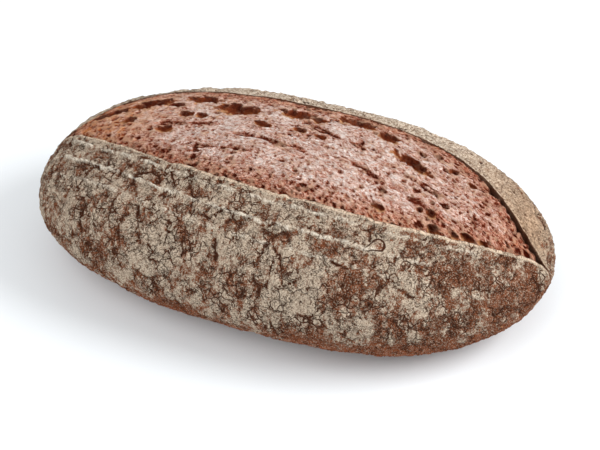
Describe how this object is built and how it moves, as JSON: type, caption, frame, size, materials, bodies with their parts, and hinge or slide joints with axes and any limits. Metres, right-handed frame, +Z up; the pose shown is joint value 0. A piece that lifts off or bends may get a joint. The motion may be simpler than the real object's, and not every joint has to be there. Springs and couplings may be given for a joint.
{
  "type": "rye bread loaf",
  "caption": "Long oval hearth-baked rye loaf with a floury, finely cracked crust and one wide burst along the top; it rests on its flat base.",
  "frame": {"origin": "on the table, under the middle of the loaf's box", "axes": "+X along the loaf to the end where the burst is widest open at the lip, +Z up, -Y towards the front flank that carries the basket marks"},
  "size_m": [0.2806, 0.1591, 0.0885],
  "materials": {
    "floured_crust": "dry, matt, dusted with rye flour over red-brown crust",
    "torn_crumb": "matt torn crumb, baked light brown, with darker pits and holes"
  },
  "bodies": {
    "root": {"loaf": "floured_crust"}
  },
  "joints": []
}
